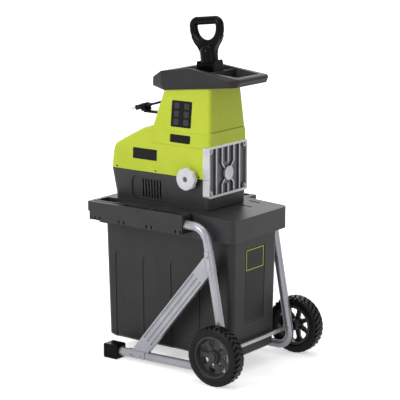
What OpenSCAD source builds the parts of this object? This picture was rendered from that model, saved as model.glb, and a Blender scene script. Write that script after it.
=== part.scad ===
// Garden shredder: roller cutter, motor and feed hopper on a chip bin carried by a wheeled tube frame.
// Millimetres. +Z up, +X towards the wheels, -Y towards the side with the adjusting knob.
// The origin lies on the ground under the middle of the machine.

/* [Overall] */
// Length from the cover plate's left end to the right edge of the wheels
overall_l = 616; // [600:1:650]
// Width over the outer faces of the wheels
track_w = 494; // [490:1:520]

/* [Wheels] */
// Outside diameter of the tyres
wheel_d = 186; // [180:1:192]
// Width of a tyre
wheel_w = 50; // [44:1:52]
// Diameter of the rim under the tyre
rim_d = 130; // [122:1:134]
// Diameter of the wheel hub
hub_d = 36; // [30:1:40]
// Windows between the spokes
spoke_count = 7; // [5:1:8]
// Tread lugs in one row
lug_count = 32; // [24:1:36]
// Depth of the tread
tread_depth = 5; // [3:0.5:7]
// Diameter of the wheel axle
axle_d = 12; // [10:0.5:14]

/* [Tube frame] */
// Outside diameter of the frame tubes
tube_d = 28; // [25:0.5:30]
// Wall of the frame tubes
tube_wall = 1.5; // [1:0.1:2.5]
// Distance between the two side frames, centre to centre
tube_spacing = 356; // [352:1:360]
// Height of the top run's centre line
tube_top_z = 476; // [474:1:478]
// Centre-line radius of the upper bend
top_bend_r = 55; // [48:1:60]
// Centre-line radius of the lower bend
low_bend_r = 42; // [38:1:48]
// Length of a foot cap
foot_l = 56; // [46:1:64]
// Width of a foot cap
foot_w = 44; // [38:1:50]
// Height of a foot cap
foot_h = 47; // [42:1:50]
// Width of the diagonal braces
brace_w = 50; // [42:1:56]
// Depth of the diagonal braces
brace_depth = 16; // [12:1:20]

/* [Cover plate] */
// Height of the deck that the machine stands on
deck_z = 508; // [504:1:512]
// Length of the cover plate
plate_l = 533; // [525:1:545]
// Width of the cover plate
plate_w = 302; // [298:1:306]
// Width over the two side ledges
ledge_w = 400; // [396:1:408]
// Length of the side ledges
ledge_l = 378; // [360:1:390]
// Wall of the cover plate
plate_wall = 3.5; // [3:0.5:4]

/* [Chip bin] */
// Length of the bin at its rim
bin_l = 508; // [480:1:512]
// Width of the bin at its rim
bin_w = 250; // [230:1:254]
// Height of the bin
bin_h = 396; // [370:1:410]
// Wall of the bin
bin_wall = 3.5; // [3:0.1:4]
// Flutes on each long side of the bin
flute_count = 4; // [2:1:4]
// Width of a flute
flute_w = 46; // [36:1:56]

/* [Housing] */
// Length of the motor housing at its seam
housing_l = 397; // [390:1:404]
// Width of the motor housing at its seam
housing_w = 210; // [206:1:216]
// Height of the dark lower housing
base_h = 98; // [94:1:102]
// Wall of the housings
housing_wall = 3; // [2.5:0.1:3.5]
// Width of the neck at its top
neck_w = 168; // [160:1:176]
// Vent slots on each side
vent_count = 7; // [5:1:8]
// Width of a vent slot
vent_w = 6; // [4:0.5:7]

/* [Cutter] */
// Diameter of the cutting drum over its teeth
drum_d = 88; // [84:1:90]
// Length of the cutting drum
drum_l = 88; // [80:1:92]
// Teeth on the cutting drum
drum_teeth = 8; // [6:1:8]
// Diameter of the drum shaft
shaft_d = 25; // [22:1:26]
// Diameter of the adjusting knob
knob_d = 71; // [64:1:76]
// Thickness of the adjusting knob
knob_t = 24; // [20:1:28]
// Lobes of the adjusting knob
knob_lobes = 8; // [6:1:10]
// Diameter of the adjusting spindle
spindle_d = 14; // [12:1:16]

/* [Hopper and plunger] */
// Width of the hopper
hopper_w = 194; // [188:1:204]
// Slope of the hopper's underside, in degrees
hopper_tilt = 6; // [5:0.5:7]
// Lean of the plunger where it stands in the hopper, in degrees
plunger_lean = 6; // [4:1:7]
// Width of the plunger's grip
grip_w = 126; // [118:1:134]
// Thickness of the plunger's grip
grip_d = 26; // [22:1:28]

/* [Power lead] */
// Diameter of the power lead
lead_d = 7.5; // [6.5:0.5:8]

/* [Hidden] */
$fn = 64;
// Gap between fixed pieces that seat on each other, and radial running clearance
seat_gap = 0.1;
run_gap = 0.05;
slide_gap = 0.3;
over = 1;
bend_thin = 0.2;

// Wheels and frame lines
wheel_r = wheel_d / 2;
axle_x = overall_l / 2 - wheel_r;
wheel_y = track_w / 2 - wheel_w / 2;
hub_in = wheel_w / 2 - 0.5;
hub_out = wheel_w / 2 - 7;
tube_y = tube_spacing / 2;
tube_r = tube_d / 2;
bend_x = 142;
run_z = 31;
foot_x = -249;
foot_z = foot_h / 2;
tube_end_x = foot_x + 12;
tube_in_x = -200;
frame_lean = atan((axle_x - bend_x) / (tube_top_z - wheel_r));
low_x = bend_x + tan(frame_lean) * (tube_top_z - run_z);
run_slope = atan((run_z - foot_z) / (low_x - tube_end_x));
top_turn = 90 - frame_lean;
low_turn = 90 + frame_lean - run_slope;
top_tangent = top_bend_r * tan(top_turn / 2);
low_tangent = low_bend_r * tan(low_turn / 2);

// Braces: from a point on the lower run to a point on the leaning leg
brace_low_x = -123;
brace_low_z = run_z - (low_x - brace_low_x) * tan(run_slope);
brace_high_z = 370;
brace_high_x = bend_x + tan(frame_lean) * (tube_top_z - brace_high_z);
brace_angle = atan2(brace_high_z - brace_low_z, brace_high_x - brace_low_x);
brace_len = norm([brace_high_x - brace_low_x, brace_high_z - brace_low_z]);
brace_web = 3;
saddle_t = 2.5;
saddle_l = 70;
saddle_r = tube_r + seat_gap + saddle_t;
screw_pitch = 36;
screw_d = 5;

// Cover plate
plate_x0 = -overall_l / 2;
plate_x1 = plate_x0 + plate_l;
plate_hw = plate_w / 2;
plate_r = 18;
plate_low_z = deck_z - 78;
deck_t = 4;
deck_fall = 9;
fall_x = 60;
ledge_x1 = plate_x0 + ledge_l;
ledge_hw = ledge_w / 2;
ledge_split_z = deck_z - 32;
ledge_low_z = deck_z - 60;
ledge_t = 12;
ledge_wall = 8;
ledge_step = 3;
trough_l = 106;
trough_w = 24;
trough_depth = 9;
notch_depth = 6;
trough_xs = [-177, -54];
notch_xs = [-284, -186, -76, 38];
bolt_inset = 12;
bolt_d = 6;
rail_z = plate_low_z + 1;
rail_t = 3;
rail_in = 19;
recess_x0 = plate_x0 + 20;
recess_x1 = recess_x0 + 74;
recess_in = 122;
recess_out = 176;
recess_depth = 30;

// Chip bin
bin_x0 = plate_x0 + 6;
bin_x1 = bin_x0 + bin_l;
bin_hw = bin_w / 2;
bin_r = 20;
bin_draft = 7;
flange_t = 3;
flange_z = rail_z + rail_t + slide_gap;
bin_top_z = flange_z + 8;
bin_low_z = bin_top_z - bin_h;
flange_out = plate_hw - plate_wall - 5;
flute_pitch = 112;
flute_x = -237;
flute_top = 296;
flute_depth = 1.8;
panel_depth = 1.2;
bin_foot = 8;
floor_lip = 2;
floor_t = 2;
grip_hw = 58;
grip_z0 = bin_top_z - 80;
grip_z1 = bin_top_z - 34;
grip_depth = 26;

// Motor housing
seam_z = deck_z + base_h;
seam_gap = 0.8;
house_x1 = 101;
house_x0 = house_x1 - housing_l;
house_hw = housing_w / 2;
house_r = 26;
base_in_x0 = 17;
base_in_x1 = 5;
base_in_y = 5;
base_floor = 4;
// Left edge of the motor hump: height over the seam, set-back of the end, set-back of the sides
hump = [[0, 0, 0], [49, 5, 1], [66, 9, 2], [79, 18, 3], [110, 74, 4], [137, 128, 5], [143, 146, 10]];
neck_low_z = seam_z + 98;
neck_low_x0 = -143;
neck_top_x0 = -84;
neck_top_x1 = 90;
neck_top_z = 892;
neck_low_hw = house_hw - 2;
neck_top_hw = neck_w / 2 - 1;
neck_r = 14;
vent_pitch = 11.5;
vent_x = -126;
vent_z0 = deck_z + 15;
vent_z1 = deck_z + 75;
tab_xs = [-263, -107, 62];

// Cast end cover
cover_x0 = 78;
cover_x1 = 101;
cover_z0 = deck_z + 39;
cover_z1 = deck_z + 200;
cover_hw = house_hw - 1;
cover_wall = 4;
cover_rim = 7;
cover_field = 8;
cover_face = 12;
cover_mid = (cover_z0 + cover_z1) / 2;
cover_screw_y = cover_hw - 13.5;
cover_screw_z = (cover_z1 - cover_z0) / 2 - 13.5;

// Cutter: drum axis, gear axes and motor axis all run along X
drum_z = seam_z + 9;
drum_x0 = -14;
drum_r = drum_d / 2;
gear_teeth = 50;
pinion_teeth = 10;
drum_module = 2;
motor_module = 1.25;
idler_dist = drum_module * (gear_teeth + pinion_teeth) / 2;
idler_y = idler_dist * cos(60);
idler_z = drum_z + idler_dist * sin(60);
motor_dist = motor_module * (gear_teeth + pinion_teeth) / 2;
motor_drop = sqrt(motor_dist * motor_dist - idler_y * idler_y);
motor_z = idler_z - motor_drop;
motor_turn = atan2(-motor_drop, -idler_y);
case_x1 = drum_x0 - 10;
case_wall = 12;
case_x0 = case_x1 - 52;
case_y0 = -62;
case_y1 = 72;
case_z0 = 548;
case_z1 = 708;
case_skin = 4;
cover_plate_x0 = case_x0 - 10;
drum_gear_x0 = case_x1 - case_wall - 14;
drum_gear_w = 12;
motor_gear_x0 = case_x0 + 6;
motor_gear_w = 12;
bearing_od = shaft_d + 22;
bearing_w = 12;
cover_bearing_x = 77;
motor_can_d = 126;
motor_can_t = 3;
motor_can_l = 126;
motor_can_x0 = cover_plate_x0 - motor_can_l;
stator_id = 74;
stator_l = 100;
stator_x0 = cover_plate_x0 - 110;
motor_shaft_d = 14;
motor_bearing_d = 32;
idler_pin_d = 10;

// Knob, spindle and pressure plate on an axis along Y, in the seam
knob_x = 31;
screw_head = 15;
knob_z = seam_z;
knob_y0 = -house_hw - 5 - knob_t;
knob_y1 = -house_hw - 5;
bush_d = 30;
bush_y0 = -house_hw - 4;
bush_y1 = -house_hw + 15;
bush_flange = -house_hw + housing_wall + 1.5;
press_x0 = drum_x0 + 2;
press_x1 = drum_x0 + drum_l - 2;
press_y1 = -drum_r - 3;
press_y0 = press_y1 - 17;
press_boss = 18;
press_h = 82;

// Feed throat, hopper and plunger
throat_x0 = drum_x0 - 2;
throat_x1 = drum_x0 + drum_l;
throat_hw = 48;
throat_wall = 3;
hopper_x = -95;
hopper_z = 869;
hopper_hw = hopper_w / 2;
hopper_len = 286;
// Bars that shape the hopper's top and ends: distance along its base, height, set-back of the sides, radius
hopper_bars = [[-38, 36, 30, 8], [0, 54, 17, 6], [75, 59, 15, 5], [105, 60, 15, 5], [283, 17, 17, 9]];
plunger_x = 31;
plunger_z = 925;
shelf_z = 900;
pusher_l = 60;
pusher_w = 84;
ear_w = 102;
collar_h = 30;
bow_z = 139;
grip_z = 162;
grip_bend = 16;
web_t = 22;
// Edge of the web under the bow: half-width and height
web = [[27, 58], [29, 70], [36, 82], [46, 94], [55, 112], [50, 130]];

// Switch box on the hidden end wall of the neck
box_x0 = -148;
box_x1 = -80;
box_y0 = 12;
box_y1 = 82;
box_z0 = 780;
box_z1 = 854;
button_d = 22;
button_out = 6;
gland_x = -112;
gland_z = 846;
gland_l = 32;
lead_slope = 15;
plug_at = [-149, -72, 817.2];
tail_l = 14;
plug_grip_l = 18;
plug_nose_l = 22;
pin_l = 19;
// Route of the lead from the gland to the plug
lead_route = [
    [-112, -18.9, 837.7],
    [-112, -29.5, 834.9],
    [-112, -40, 832.1],
    [-113.1, -48.3, 829.8],
    [-116.3, -56, 827.6],
    [-121.4, -62.6, 825.3],
    [-128, -67.7, 823.1],
    [-135.7, -70.9, 820.8],
    [-144, -72, 818.6],
    plug_at
];

// Shapes used by several pieces

module rounded(x0, x1, y0, y1, r) {
    translate([x0 + r, y0]) square([x1 - x0 - 2 * r, y1 - y0]);
    translate([x0, y0 + r]) square([x1 - x0, y1 - y0 - 2 * r]);
    for (x = [x0 + r, x1 - r], y = [y0 + r, y1 - r]) translate([x, y]) circle(r);
}

module slab(x0, x1, hw, r, z, h = 1) {
    translate([0, 0, z]) linear_extrude(h) rounded(x0, x1, -hw, hw, r, $fn = 32);
}

module box(low, high) {
    translate(low) cube(high - low);
}

// Straight round bar between two points
module rod(a, b, d) {
    v = b - a;
    translate(a) rotate([0, acos(v.z / norm(v)), atan2(v.y, v.x)]) cylinder(d = d, h = norm(v));
}

// Turns a shape drawn along Z so that its Z runs along X, or along +Y
module along_x(x, y, z) {
    translate([x, y, z]) rotate([90, 0, 90]) children();
}

module along_y(x, y, z) {
    translate([x, y, z]) rotate([-90, 0, 0]) children();
}

module both_sides() {
    children();
    mirror([0, 1, 0]) children();
}

module far_side() {
    mirror([0, 1, 0]) children();
}

module ring(od, id, h) {
    difference() {
        cylinder(d = od, h = h);
        translate([0, 0, -over]) cylinder(d = id, h = h + 2 * over);
    }
}

// Tube frame

function on_run(x) = [x, -tube_y, run_z - (low_x - x) * tan(run_slope)];
function on_leg(z) = [bend_x + tan(frame_lean) * (tube_top_z - z), -tube_y, z];

// Straight length of frame tube, running a little way over the bends it joins
module tube_run(a, b) {
    reach = over * (b - a) / norm(b - a);
    difference() {
        rod(a - reach, b + reach, tube_d);
        rod(a - 2 * reach, b + 2 * reach, tube_d - 2 * tube_wall);
    }
}

// Bent length of frame tube, a touch thinner than the straight lengths
module tube_bend(x, z, r, from, turn) {
    translate([x, -tube_y, z]) rotate([90, 0, 0]) rotate([0, 0, from])
        rotate_extrude(angle = turn) translate([r, 0]) difference() {
            circle(d = tube_d - bend_thin);
            circle(d = tube_d - 2 * tube_wall + bend_thin);
        }
}

module tube_line() {
    leg_dir = [sin(frame_lean), 0, -cos(frame_lean)];
    run_dir = [-cos(run_slope), 0, -sin(run_slope)];
    top_corner = [bend_x, -tube_y, tube_top_z];
    low_corner = [low_x, -tube_y, run_z];
    leg_start = top_corner + leg_dir * top_tangent;
    leg_end = low_corner - leg_dir * low_tangent;
    tube_run([tube_in_x, -tube_y, tube_top_z], top_corner - [top_tangent, 0, 0]);
    tube_bend(bend_x - top_tangent, tube_top_z - top_bend_r, top_bend_r, 90 - top_turn, top_turn);
    tube_run(leg_start, leg_end);
    tube_bend(leg_end.x - low_bend_r * cos(frame_lean), leg_end.z - low_bend_r * sin(frame_lean),
        low_bend_r, frame_lean - low_turn, low_turn);
    tube_run(low_corner + run_dir * low_tangent, on_run(tube_end_x));
}

// Places a shape at each brace screw, its Z along Y
module at_brace_screws() {
    for (s = [-1, 1]) {
        p = on_run(brace_low_x + s * screw_pitch / 2);
        q = on_leg(brace_high_z + s * screw_pitch / 2);
        translate(p) rotate([90, 0, 0]) children();
        translate(q) rotate([90, 0, 0]) children();
    }
}

module at_plate_bolts() {
    for (x = trough_xs) translate([x + bolt_inset, -tube_y, 0]) children();
}

module side_tube() {
    color("silver") difference() {
        tube_line();
        along_y(axle_x, -tube_y - tube_d, wheel_r) cylinder(d = axle_d + 2 * seat_gap, h = 2 * tube_d);
        at_brace_screws() cylinder(d = screw_d + 2 * seat_gap, h = 2 * tube_d, center = true);
        at_plate_bolts() translate([0, 0, tube_top_z - tube_d])
            cylinder(d = bolt_d + 2 * seat_gap, h = 2 * tube_d);
    }
}

// Half sleeve that hugs a tube on the side that faces the brace
module saddle(turn) {
    rotate([0, turn, 0]) intersection() {
        rotate([0, 90, 0]) cylinder(r = saddle_r, h = saddle_l, center = true);
        translate([-saddle_l, -saddle_r - over, -tube_r / 2]) cube([2 * saddle_l, 2 * saddle_r + 2 * over, 2 * tube_d]);
    }
}

module brace_strip() {
    groove_w = brace_w / 9;
    rotate([0, -brace_angle, 0]) translate([0, -brace_depth / 2, -brace_w / 2]) difference() {
        cube([brace_len, brace_depth, brace_w]);
        translate([-over, brace_web, brace_web])
            cube([brace_len + 2 * over, brace_depth, brace_w - 2 * brace_web]);
        for (i = [1, 4, 7]) translate([saddle_l, -over, i * groove_w])
            cube([brace_len - 2 * saddle_l, over + brace_web / 2, groove_w]);
    }
}

module brace() {
    color("silver") difference() {
        union() {
            intersection() {
                translate(on_run(brace_low_x)) brace_strip();
                brace_room();
            }
            translate(on_run(brace_low_x)) saddle(-run_slope);
            translate(on_leg(brace_high_z)) saddle(-90 - frame_lean);
        }
        rod(on_run(tube_end_x), on_run(low_x), tube_d + 2 * seat_gap);
        rod(on_leg(tube_top_z), on_leg(run_z), tube_d + 2 * seat_gap);
        at_brace_screws() cylinder(d = screw_d + 2 * seat_gap, h = 2 * tube_d, center = true);
    }
}

// Room between the two runs that a brace may fill, up to their centre lines
module brace_room() {
    translate([0, -tube_y + brace_depth, 0]) rotate([90, 0, 0]) linear_extrude(2 * brace_depth)
        polygon([
            [on_run(foot_x).x, on_run(foot_x).z],
            [low_x, run_z],
            [bend_x, tube_top_z],
            [on_run(foot_x).x, tube_top_z]
        ]);
}

module brace_screw_set() {
    at_brace_screws() {
        translate([0, 0, -saddle_r]) cylinder(d = screw_d, h = 2 * saddle_r + over);
        translate([0, 0, saddle_r + seat_gap]) difference() {
            cylinder(d = 2 * screw_d, h = 3.5);
            translate([0, 0, 1.5]) cylinder(d = screw_d, h = 3, $fn = 6);
        }
    }
}

module brace_screws() {
    color("dimgray") both_sides() brace_screw_set();
}

module foot_cap() {
    color([0.08, 0.08, 0.08]) difference() {
        translate([0, -tube_y + foot_w / 2, 0]) rotate([90, 0, 0]) linear_extrude(foot_w)
            rounded(foot_x, foot_x + foot_l, 0, foot_h, 5);
        rod(on_run(tube_end_x - over - seat_gap), on_run(foot_x + 2 * foot_l), tube_d + 2 * seat_gap);
        for (s = [-1, 1]) translate([foot_x + foot_l / 2, -tube_y + s * (foot_w / 2 + 1), foot_h / 2])
            cube([foot_l - 16, 4, foot_h - 16], center = true);
    }
}

// Wheels: drawn with the axle along Z and the outer face up

module rim_body() {
    disc_t = 8;
    difference() {
        union() {
            rotate_extrude() polygon([
                [axle_d / 2 + run_gap, -hub_in], [hub_d / 2, -hub_in], [hub_d / 2 + 2, 0],
                [rim_d / 2 - 8, -2], [rim_d / 2 - 8, -wheel_w / 2 + 4], [rim_d / 2, -wheel_w / 2 + 4],
                [rim_d / 2, wheel_w / 2 - 4], [rim_d / 2 - 4, wheel_w / 2 - 3], [rim_d / 2 - 8, disc_t - 1],
                [hub_d / 2 + 4, disc_t], [hub_d / 2, hub_out], [axle_d / 2 + run_gap, hub_out]
            ]);
        }
        for (i = [0 : spoke_count - 1]) rotate(i * 360 / spoke_count) translate([0, 0, -wheel_w])
            linear_extrude(2 * wheel_w) rim_window();
    }
}

module rim_window() {
    r_in = hub_d / 2 + 9;
    r_out = rim_d / 2 - 21;
    w_in = 9;
    w_out = 26;
    translate([r_in, 0]) circle(d = w_in);
    translate([r_out, 0]) circle(d = w_out);
    polygon([[r_in, -w_in / 2], [r_out, -w_out / 2], [r_out, w_out / 2], [r_in, w_in / 2]]);
}

module tyre_body() {
    r0 = rim_d / 2 + seat_gap;
    half = wheel_w / 2;
    groove_w = 3.14 * wheel_d / lug_count * 0.34;
    difference() {
        rotate_extrude() polygon([
            [r0, 4 - half], [r0 + 4, 1 - half], [wheel_r - 12, -half], [wheel_r - 4, 3 - half],
            [wheel_r, 8 - half], [wheel_r, half - 8], [wheel_r - 4, half - 3], [wheel_r - 12, half],
            [r0 + 4, half - 1], [r0, half - 4]
        ]);
        for (i = [0 : lug_count - 1], s = [-1, 1]) rotate((i + s / 4) * 360 / lug_count)
            translate([wheel_r - tread_depth, 0, s * half * 0.62]) rotate([s * 28, 0, 0])
                translate([0, -groove_w / 2, -half * 0.5]) cube([2 * tread_depth, groove_w, half * 1.3]);
    }
}

module at_near_wheel() {
    translate([axle_x, -wheel_y, wheel_r]) rotate([90, 0, 0]) children();
}

module rim() {
    color([0.16, 0.16, 0.17]) at_near_wheel() rim_body();
}

module tyre() {
    color([0.06, 0.06, 0.06]) at_near_wheel() tyre_body();
}

module wheel_axle() {
    color("silver") along_y(axle_x, -track_w / 2 + 4, wheel_r) cylinder(d = axle_d, h = track_w - 8);
}

module axle_spacers() {
    from = tube_y + tube_r + seat_gap;
    to = wheel_y - hub_in - slide_gap;
    color("dimgray") both_sides() along_y(axle_x, -to, wheel_r) ring(2 * axle_d, axle_d + 2 * seat_gap, to - from);
}

module axle_caps() {
    from = wheel_y + hub_out + slide_gap;
    to = track_w / 2 - 0.5;
    color([0.16, 0.16, 0.17]) both_sides() along_y(axle_x, -to, wheel_r) difference() {
        union() {
            cylinder(d1 = hub_d - 16, d2 = hub_d - 10, h = 2.5);
            translate([0, 0, 2.5]) cylinder(d = hub_d - 10, h = to - from - 2.5);
        }
        translate([0, 0, 3.3]) cylinder(d = axle_d + 2 * seat_gap, h = track_w / 2);
    }
}

// Cover plate: a moulded lid with a side ledge over each frame tube

module side_profile(drop, grow) {
    x0 = plate_x0 - grow;
    x1 = plate_x1 + grow;
    translate([0, ledge_w, 0]) rotate([90, 0, 0]) linear_extrude(2 * ledge_w) polygon([
        [x0, 0], [x0, deck_z - drop], [fall_x, deck_z - drop], [x1, deck_z - deck_fall - drop], [x1, 0]
    ]);
}

module plate_shell() {
    difference() {
        intersection() {
            translate([0, 0, plate_low_z]) linear_extrude(deck_z - plate_low_z)
                rounded(plate_x0, plate_x1, -plate_hw, plate_hw, plate_r);
            side_profile(0, over);
        }
        intersection() {
            translate([0, 0, plate_low_z - over]) linear_extrude(deck_z - plate_low_z)
                rounded(plate_x0 + plate_wall, plate_x1 - plate_wall, plate_wall - plate_hw,
                    plate_hw - plate_wall, plate_r - plate_wall);
            side_profile(deck_t, over);
        }
    }
}

module ledge() {
    inner = plate_hw - plate_wall;
    difference() {
        union() {
            translate([0, 0, ledge_split_z]) linear_extrude(deck_z - ledge_split_z)
                rounded(plate_x0, ledge_x1, -ledge_hw, -inner, 2);
            translate([0, 0, ledge_low_z]) linear_extrude(ledge_split_z - ledge_low_z)
                rounded(plate_x0 + ledge_step, ledge_x1 - ledge_step, ledge_step - ledge_hw, -inner, 2);
        }
        box([plate_x0 + ledge_step + plate_wall, ledge_step + ledge_wall - ledge_hw, ledge_low_z - over],
            [ledge_x1 - ledge_step - plate_wall, -plate_hw, deck_z - ledge_t]);
    }
    for (x = [-190, -120, -20, ledge_x1 - 30]) tube_saddle(x);
}

// Cross rib in a ledge that rests on the frame tube
module tube_saddle(x) {
    box([x, ledge_step - ledge_hw + plate_wall / 2, tube_top_z], [x + 4, -plate_hw + 1, deck_z - ledge_t + 1]);
}

module ledge_cuts() {
    for (x = trough_xs) translate([0, 0, deck_z - trough_depth]) linear_extrude(trough_depth + over)
        rounded(x, x + trough_l, -tube_y - trough_w / 2, -tube_y + trough_w / 2, 8);
    at_plate_bolts() cylinder(d = bolt_d + 2 * seat_gap, h = 2 * deck_z);
    cup_box(plate_wall + seat_gap, deck_z - recess_depth - plate_wall - over, deck_z + over);
    for (x = notch_xs, dx = [0, 20]) box([x + dx, -ledge_hw - over, ledge_low_z - over],
        [x + dx + 6, ledge_step + notch_depth - ledge_hw, ledge_low_z + 12]);
    rod([tube_in_x - over - seat_gap, -tube_y, tube_top_z], [ledge_x1 + over, -tube_y, tube_top_z], tube_d + 2 * seat_gap);
}

// Box that stands for a hand recess in the deck, grown on all four sides
module cup_box(grow, low, high) {
    box([recess_x0 - grow, -recess_out - grow, low], [recess_x1 + grow, -recess_in + grow, high]);
}

// Cups that line the two hand recesses, with a thin rim on the deck
module deck_cups() {
    rim_t = 1.6;
    rim_w = 4;
    color([0.2, 0.2, 0.21]) both_sides() difference() {
        union() {
            cup_box(plate_wall, deck_z - recess_depth - plate_wall, deck_z + 1);
            cup_box(plate_wall + rim_w, deck_z + seat_gap, deck_z + rim_t);
        }
        cup_box(0, deck_z - recess_depth, deck_z + 2 * rim_t);
    }
}

module bin_rail() {
    box([plate_x0 + plate_wall, plate_wall / 2 - plate_hw, rail_z],
        [bin_x1, rail_in - plate_hw, rail_z + rail_t]);
}

module cover_plate() {
    color([0.2, 0.2, 0.21]) difference() {
        union() {
            plate_shell();
            both_sides() {
                ledge();
                bin_rail();
            }
        }
        both_sides() ledge_cuts();
        // Open left end under the deck, where the bin slides out
        box([plate_x0 - over, plate_wall - plate_hw, plate_low_z - over],
            [plate_x0 + 2 * plate_wall, plate_hw - plate_wall, bin_top_z + 4]);
        // Chip opening under the cutter
        box([throat_x0 - 8, -throat_hw - 4, deck_z - 3 * deck_t], [throat_x1 + 4, throat_hw + 4, deck_z + over]);
        at_base_bolts() cylinder(d = bolt_d + 2 * seat_gap, h = deck_z + over);
        for (p = [[100, 112], [112, 48]]) box([p.x, p.y, deck_z - 3 * deck_t], [p.x + 42, p.y + 8, deck_z + over]);
    }
}

module plate_bolts() {
    floor_z = deck_z - trough_depth;
    color("silver") both_sides() at_plate_bolts() {
        translate([0, 0, tube_top_z - tube_r - 2]) cylinder(d = bolt_d, h = floor_z - tube_top_z + tube_r + 2);
        translate([0, 0, floor_z]) cylinder(d = 2 * bolt_d, h = 1.5);
        translate([0, 0, floor_z + 1.5]) cylinder(d = 1.7 * bolt_d, h = 3, $fn = 6);
    }
}

// Chip bin: a tapered box with a rim that hangs on the rails of the cover plate

module bin_form(inset, low, high) {
    hull() {
        for (step = [bin_foot, 0]) slab(bin_x0 + bin_draft + step + inset, bin_x1 - bin_draft - step - inset,
            bin_hw - bin_draft - step - inset, bin_r - inset, low + bin_foot - step);
        slab(bin_x0 + inset, bin_x1 - inset, bin_hw - inset, bin_r - inset, high - 1);
    }
}

// Shallow arch-topped flutes in both long walls
module flutes() {
    top = bin_low_z + flute_top - flute_w / 2;
    deep = 2 * bin_draft + bin_foot;
    difference() {
        both_sides() for (i = [0 : flute_count - 1]) translate([flute_x + i * flute_pitch, -bin_hw - over, 0]) {
            box([-flute_w / 2, 0, bin_low_z - over], [flute_w / 2, deep, top]);
            along_y(0, 0, top) cylinder(d = flute_w, h = deep);
        }
        bin_form(flute_depth, bin_low_z, bin_top_z);
    }
}

// Shallow bare field in the right end wall
module end_panel() {
    difference() {
        box([bin_x1 - 2 * bin_draft, -54, bin_low_z + 104], [bin_x1 + over, 54, bin_low_z + 346]);
        bin_form(panel_depth, bin_low_z, bin_top_z);
    }
}

// Box that stands for the finger recess in the left end wall, grown on all four sides
module grip_box(grow, from, to) {
    box([bin_x0 + from, -grip_hw - grow, grip_z0 - grow], [bin_x0 + to, grip_hw + grow, grip_z1 + grow]);
}

module chip_bin() {
    color([0.21, 0.21, 0.22]) difference() {
        union() {
            bin_form(0, bin_low_z, bin_top_z);
            box([bin_x0 + bin_r, -flange_out, flange_z], [bin_x1 - bin_r, flange_out, flange_z + flange_t]);
        }
        bin_form(bin_wall, bin_low_z + bin_wall, bin_top_z + over);
        floor_slab(bin_wall + floor_lip, bin_low_z - over, bin_wall + 2 * over);
        flutes();
        end_panel();
        grip_box(bin_wall + seat_gap, -over, grip_depth / 2);
    }
}

// Outline of the bin's low end, moved in by inset
module floor_slab(inset, z, h) {
    in_x = bin_draft + bin_foot + inset;
    slab(bin_x0 + in_x, bin_x1 - in_x, bin_hw - in_x, bin_r - inset, z, h);
}

// Floor panel that lies on a lip round the low end of the walls
module bin_floor() {
    color([0.21, 0.21, 0.22]) floor_slab(bin_wall + seat_gap, bin_low_z + bin_wall + seat_gap, floor_t);
}

// Cup that the fingers reach into to pull the bin out, held by a collar behind the wall
module bin_grip() {
    collar_x = bin_draft / 4 + bin_wall + over;
    color([0.21, 0.21, 0.22]) difference() {
        union() {
            grip_box(bin_wall, bin_draft / 4, grip_depth + bin_wall);
            grip_box(bin_wall + 6, collar_x, collar_x + 2);
        }
        grip_box(0, -over, grip_depth);
    }
}

// Motor housing: dark lower shell, green upper shell with hump and neck

module house_outline(x0, x1, hw, left_r, right_r) {
    translate([x0 + left_r, -hw]) square([x1 - x0 - left_r - right_r, 2 * hw]);
    translate([x0, left_r - hw]) square([left_r, 2 * (hw - left_r)]);
    translate([x1 - right_r, right_r - hw]) square([right_r, 2 * (hw - right_r)]);
    for (s = [-1, 1]) {
        translate([x0 + left_r, s * (hw - left_r)]) circle(left_r);
        translate([x1 - right_r, s * (hw - right_r)]) circle(right_r);
    }
}

module house_slice(x0, x1, hw, left_r, z) {
    translate([0, 0, z]) linear_extrude(1) house_outline(x0, x1, hw, left_r, min(neck_r, left_r), $fn = 32);
}

module base_form(inset, low, high) {
    hull() {
        house_slice(house_x0 + base_in_x0 + inset, house_x1 - base_in_x1 - inset,
            house_hw - base_in_y - inset, house_r - inset, low);
        house_slice(house_x0 + inset, house_x1 - inset, house_hw - inset, house_r - inset, high - 1);
    }
}

module hump_form(inset, low) {
    hull() {
        house_slice(house_x0 + inset, house_x1 - inset, house_hw - inset, house_r - inset, seam_z - low);
        for (p = hump) house_slice(house_x0 + p[1] + inset, house_x1 - inset, house_hw - p[2] - inset,
            house_r - inset, seam_z + p[0] - inset);
    }
}

module neck_form(inset) {
    hull() {
        house_slice(neck_low_x0 + inset, house_x1 - inset, neck_low_hw - inset, neck_r - inset, neck_low_z);
        house_slice(neck_top_x0 + inset, neck_top_x1 - inset, neck_top_hw - inset, neck_r - inset, neck_top_z);
    }
}

// Everything above the sloping plane that the hopper stands on
module above_neck(lift) {
    translate([hopper_x, 0, hopper_z + lift]) rotate([0, -hopper_tilt, 0])
        translate([-overall_l, -track_w, 0]) cube([2 * overall_l, 2 * track_w, overall_l]);
}

module cover_room() {
    box([cover_x0 - seat_gap, -house_hw - over, cover_z0 - seat_gap],
        [house_x1 + over, house_hw + over, cover_z1 + seat_gap]);
}

module bush_room() {
    along_y(knob_x, bush_y0 - over, knob_z) cylinder(d = bush_d + 2 * seat_gap, h = bush_y1 - bush_y0);
}

module vent_panel(grow) {
    translate([0, -house_hw + 20, 0]) rotate([90, 0, 0]) linear_extrude(30)
        rounded(vent_x - 78 - grow, vent_x + 70 + grow, vent_z0 - 10 - grow, vent_z1 + 8 + grow, 22);
}

module vent_slots() {
    for (i = [0 : vent_count - 1]) {
        x = vent_x + (i - (vent_count - 1) / 2) * vent_pitch;
        box([x - vent_w / 2, -house_hw - over, vent_z0], [x + vent_w / 2, 20 - house_hw, vent_z1]);
    }
}

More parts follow.
